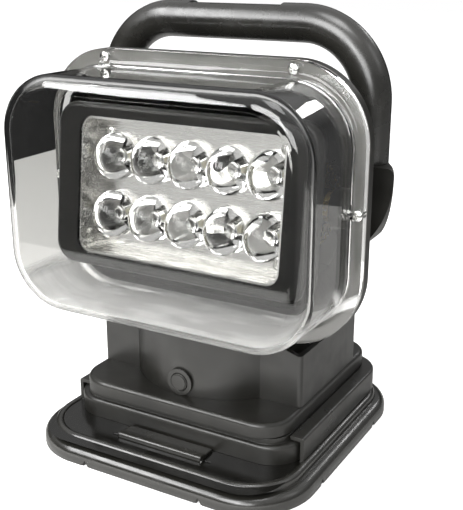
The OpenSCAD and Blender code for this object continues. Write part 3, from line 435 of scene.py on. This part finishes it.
# The outline from the top of the dome to the middle of the cup, as distance from the axis, place along it and
# how far it is drawn out upwards: the dome is a quarter of an ellipse, and the cup's roof hangs lowest on the
# axis and rises with the square of the distance from it
def lensOutline(lf):
    t = np.linspace(0, math.pi / 2, lf["steps"])
    ball = np.stack([lf["ball"][0] * np.sin(t), lf["seat"] + lf["drum"] + lf["ball"][1] * np.cos(t)], -1)
    rim, seat, foot = lf["seat"] + lf["rim"], lf["seat"], lf["foot"]
    oval = np.array([(lf["ball"][0], rim), (lf["edge"], rim), (lf["edge"], seat)])
    stem = np.array([(lf["stem"][1], seat), (lf["stem"][0], foot), (lf["cup"][0], foot)])
    r = np.linspace(lf["cup"][1], 0, lf["roofSteps"])
    roof = foot + lf["cupHeight"] - lf["bulge"] * (1 - (r / lf["cup"][1]) ** 2)
    outline = np.concatenate([ball, oval, stem, np.stack([r, roof], -1)])
    drawn = np.ones(len(outline))
    drawn[:len(ball) + len(oval)] = lf["tall"]  # the dome and the rim, not the stem
    return np.column_stack([outline, drawn])


# The outline goes round the axis as cosine and sine, and the sine is drawn out
def lensSurface(lf, x, up):
    r, forward, drawn = lensOutline(lf).T[:, :, None]
    angle = np.linspace(0, 2 * math.pi, lf["around"], endpoint=False)
    rows = onLamp(x + r * np.cos(angle), up + drawn * r * np.sin(angle), forward + 0 * angle)
    return closedSurface(np.stack(rows, -1))


def lensPlace(lf, column, row):
    return (column - (lf["columns"] - 1) / 2) * lf["across"], (row - (lf["rows"] - 1) / 2) * lf["apart"]


lensPlaces = [lensPlace(lensForm, c, k) for c in range(lensForm["columns"]) for k in range(lensForm["rows"])]
lensSurfaces = [lensSurface(lensForm, x, up) for x, up in lensPlaces]
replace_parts(addPiece("clearLenses", lensSurfaces, lensPlastic, "lamp"), "lenses")
print("lenses set")

# The plate's rim: a skirt with a round shoulder, a narrow ledge and a round bead at the edge of the tread
plateRim = {
    "width": 165 * mm, "depth": 166 * mm, "corner": 36 * mm, "proud": 0.8 * mm,
    "lap": 2.0 * mm, "clear": 0.02 * mm, "chamfer": 0.3 * mm,
    "shoulder": 8.9 * mm, "shoulderRound": 5.0 * mm, "shoulderSteps": 12,
    "ledge": 5.5 * mm, "ledgeSlope": 0.3 * mm,
    "bead": 13.0 * mm, "beadRound": 2.6 * mm, "beadSteps": 18,
    "tread": 12.0 * mm, "sunk": 3 * mm, "inner": (4.0 * mm, 4.0 * mm),
    "notch": 36 * mm, "notchHalf": 2.0 * mm, "notchHigh": 3.86 * mm, "notchReach": 2.1 * mm,
    "side": 160, "turn": 28, "crease": 50,
}


# The section as distance in from the plate's edge and height: a quarter circle for the shoulder, a half circle
# for the bead, and a loop back through the plate's own wall
def rimSection(pr):
    r, b, proud = pr["shoulderRound"], pr["beadRound"], pr["proud"]
    quarter = np.linspace(0, math.pi / 2, pr["shoulderSteps"])
    half = np.linspace(0, math.pi, pr["beadSteps"])
    foot = [(pr["lap"], pr["clear"]), (pr["chamfer"] - proud, pr["clear"]), (-proud, pr["chamfer"])]
    shoulder = np.stack([r - proud - r * np.cos(quarter), pr["shoulder"] - r + r * np.sin(quarter)], -1)
    ledge = [(pr["ledge"] - pr["ledgeSlope"], pr["shoulder"])]
    bead = np.stack([pr["ledge"] + b - b * np.cos(half), pr["bead"] - b + b * np.sin(half)], -1)
    hidden = [(pr["ledge"] + 2 * b, pr["tread"] - pr["sunk"]), pr["inner"]]
    return np.concatenate([foot, shoulder, ledge, bead, hidden])


# The path round the plate as the corner centres, slid along the straight sides, with the direction outwards
# and the distance from the middle of the side
def rimPath(pr):
    wide, deep = pr["width"] / 2 - pr["corner"], pr["depth"] / 2 - pr["corner"]
    corners = np.array([(wide, -deep), (wide, deep), (-wide, deep), (-wide, -deep)])
    centres, outward, along = [], [], []
    for k in range(4):
        angle = (k - 1) * math.pi / 2 + np.linspace(0, math.pi / 2, pr["turn"], endpoint=False)
        centres.append(np.repeat(corners[k][None], pr["turn"], 0))
        outward.append(np.stack([np.cos(angle), np.sin(angle)], -1))
        along.append(np.full(pr["turn"], 1.0))  # a corner counts as far from any notch
        share = np.linspace(0, 1, pr["side"], endpoint=False)[:, None]
        centres.append(corners[k] + (corners[(k + 1) % 4] - corners[k]) * share)
        outward.append(np.repeat([(math.cos(k * math.pi / 2), math.sin(k * math.pi / 2))], pr["side"], 0))
        along.append(np.abs((share[:, 0] - 0.5) * 2 * (deep if k % 2 == 0 else wide)))
    return np.concatenate(centres), np.concatenate(outward), np.concatenate(along)


# The section is carried along the path, and both ways it closes on itself
def rimSurface(pr):
    inward, height = rimSection(pr).T[:, :, None]
    centres, outward, along = rimPath(pr)
    # A V notch lifts the foot of the skirt to its full height at its middle, and to nothing at its half width
    lift = pr["notchHigh"] * np.clip(1 - np.abs(along - pr["notch"]) / pr["notchHalf"], 0, 1)
    high = np.where(inward < pr["notchReach"], np.maximum(height, lift), height + 0 * lift)
    flat = centres + (pr["corner"] - inward)[:, :, None] * outward
    points = np.concatenate([flat, high[:, :, None]], -1)
    count, around = points.shape[:2]
    row, col = np.meshgrid(np.arange(count), np.arange(around), indexing="ij")
    here, below = row * around, (row + 1) % count * around
    after = (col + 1) % around
    quads = np.stack([here + col, here + after, below + after, below + col], -1)
    return points.reshape(-1, 3), [quads.reshape(-1, 4)]


addPiece("plateRim", [rimSurface(plateRim)], rimPlastic, "mount", plateRim["crease"])
print("rim set")

# Stage: a pale table in a dim room. The camera sees the floor; reflections and clear pieces see the table,
# the room beyond its edge and a wall that grows brighter above the horizon
stage = {
    "floor": 4.0,
    "floorDrop": 0.1 * mm,
    "floorTone": (0.75, 0.75, 0.75),
    "floorGlow": 0.65,
    "table": [(-0.598, -0.36), (0.75, -0.36), (0.75, 0.42), (-0.612, 0.62)],
    "tableDrop": 0.3 * mm,
    "tableTone": (0.54, 0.535, 0.52),
    "tableLight": (1, 0.99, 0.97),
    "tableGlow": 1.1,
    "glowBack": (-0.1, -0.08),  # the table's glow ends here, under the lamp
    "glowFront": (-0.32, -0.18),  # and it is weaker in front of this
    "glowWeak": 0.3,
    "skyGlow": 0.64,
    "mirrorGlow": 0.8,
    "mirrorDepth": 2.5,  # passes through clear plastic after which a ray counts as inside the cover
    "roomGlow": (0.02, 0.22),
    "roomSpan": (0.1, 0.5),
    "wallGlow": 0.7,
    "horizon": (0.27, 0.6),
}


def addPlane(name, corners, height, shader):
    mesh = bpy.data.meshes.new(name)
    mesh.from_pydata([(x, y, height) for x, y in corners], [], [tuple(range(len(corners)))])
    mesh.materials.append(shader.material)
    plane = bpy.data.objects.new(name, mesh)
    bpy.context.scene.collection.objects.link(plane)
    return plane


# Keeps a plane from rays of the kinds named
def hide(plane, *kinds):
    for kind in kinds:
        setattr(plane, "visible_" + kind, False)


def makeFloor(st):
    paint = Shader("tablePaint")
    paint.set(Base_Color=(*st["tableTone"], 1), Roughness=0.8, Emission_Color=(*st["tableLight"], 1))
    near = paint.spread(paint.axis("Y"), st["tableGlow"], 0.0, *st["glowBack"])
    fade = paint.spread(paint.axis("Y"), st["glowWeak"], 1.0, *st["glowFront"])
    paint.set(Emission_Strength=paint.maths("MULTIPLY", near, fade))
    hide(addPlane("table", st["table"], -st["tableDrop"], paint), "camera", "shadow")
    sheet = Shader("floorPaint")
    sheet.set(Base_Color=(*st["floorTone"], 1), Roughness=0.9, Emission_Color=(1, 1, 1, 1))
    sheet.set(Emission_Strength=st["floorGlow"])
    half = st["floor"]
    corners = [(-half, -half), (half, -half), (half, half), (-half, half)]
    hide(addPlane("floor", corners, -st["floorDrop"], sheet), "glossy", "transmission", "diffuse", "shadow")


# The world's glow depends on the kind of ray: white to the camera, the sky to matt surfaces, the room and its
# wall to gloss and clear plastic, and a glow of its own to what mirrors inside the cover
def makeSky(st):
    world = bpy.data.worlds.new("surround")
    world.use_nodes = True
    tree = world.node_tree

    def add(kind, settings=None, inputs=()):
        node = tree.nodes.new("ShaderNode" + kind)
        for key, value in (settings or {}).items():
            setattr(node, key, value)
        for key, value in inputs:
            if isinstance(value, bpy.types.NodeSocket):
                tree.links.new(value, node.inputs[key])
            else:
                node.inputs[key].default_value = value
        return node.outputs[0]

    def spread(value, span, low, high):
        return add("MapRange", None, [(0, value), (1, span[0]), (2, span[1]), (3, low), (4, high)])

    def maths(operation, first, second, clamp=False):
        return add("Math", {"operation": operation, "use_clamp": clamp}, [(0, first), (1, second)])

    def mix(factor, first, second):
        return add("Mix", None, [(0, factor), (2, first), (3, second)])

    path = tree.nodes.new("ShaderNodeLightPath").outputs
    aim = tree.nodes.new("ShaderNodeSeparateXYZ")
    tree.links.new(tree.nodes.new("ShaderNodeTexCoord").outputs["Generated"], aim.inputs[0])
    room = spread(aim.outputs["X"], st["roomSpan"], *st["roomGlow"])
    wall = spread(aim.outputs["Z"], st["horizon"], room, st["wallGlow"])
    inside = maths("GREATER_THAN", path["Transmission Depth"], st["mirrorDepth"])
    mirrored = maths("MULTIPLY", inside, path["Glossy Depth"], clamp=True)
    within = mix(mirrored, wall, st["mirrorGlow"])
    lit = maths("MINIMUM", path["Diffuse Depth"], 1.0)
    soft = mix(lit, within, st["skyGlow"])
    glow = mix(path["Is Camera Ray"], soft, 1.0)
    back = tree.nodes["Background"]
    back.inputs["Color"].default_value = (1, 1, 1, 1)
    tree.links.new(glow, back.inputs["Strength"])
    bpy.context.scene.world = world


# Soft lights: where each stands, what it points at, its width and height in metres and its power in watts
softLights = {
    "keyBox": {"place": (-0.715, -0.73, 0.9), "target": (0, 0, 0.1), "size": (0.32, 0.95), "power": 10.5,
               "along": (-0.135, 0.797, 0.589)},
    "topBox": {"place": (0.2, -0.3, 1.25), "target": (0, 0, 0.1), "size": (0.5, 0.5), "power": 5,
               "through": False},
    "frontBox": {"place": (-0.1, -1.2, 0.85), "target": (0, 0, 0.15), "size": (0.8, 0.7), "power": 15},
    "lowBox": {"place": (0.4, -1.2, 0.5), "target": (0, 0, 0.12), "size": (0.6, 0.5), "power": 6},
    "backBox": {"place": (0.25, 1.1, 0.75), "target": (0, 0, 0.15), "size": (0.30, 0.08), "power": 0.9,
                "through": False},
    "rightBox": {"place": (1.0, 0.25, 0.9), "target": (0, 0, 0.12), "size": (0.4, 0.5), "power": 0.6,
                 "through": False},
}


def softBox(name, place, target, size, power, along=(0, 0, 1), through=True):
    data = bpy.data.lights.new(name, "AREA")
    data.shape, data.size, data.size_y, data.energy = "RECTANGLE", size[0], size[1], power
    light = bpy.data.objects.new(name, data)
    bpy.context.scene.collection.objects.link(light)
    light.location = place
    light.visible_transmission = through  # False keeps its glints out of the clear plastic
    back = (Vector(place) - Vector(target)).normalized()
    side = Vector(along).cross(back).normalized()
    light.rotation_euler = Matrix((side, back.cross(side), back)).transposed().to_euler()


makeFloor(stage)
makeSky(stage)
for name, box in softLights.items():
    softBox(name, **box)
bpy.context.scene.view_settings.view_transform = "Standard"
print("stage set")
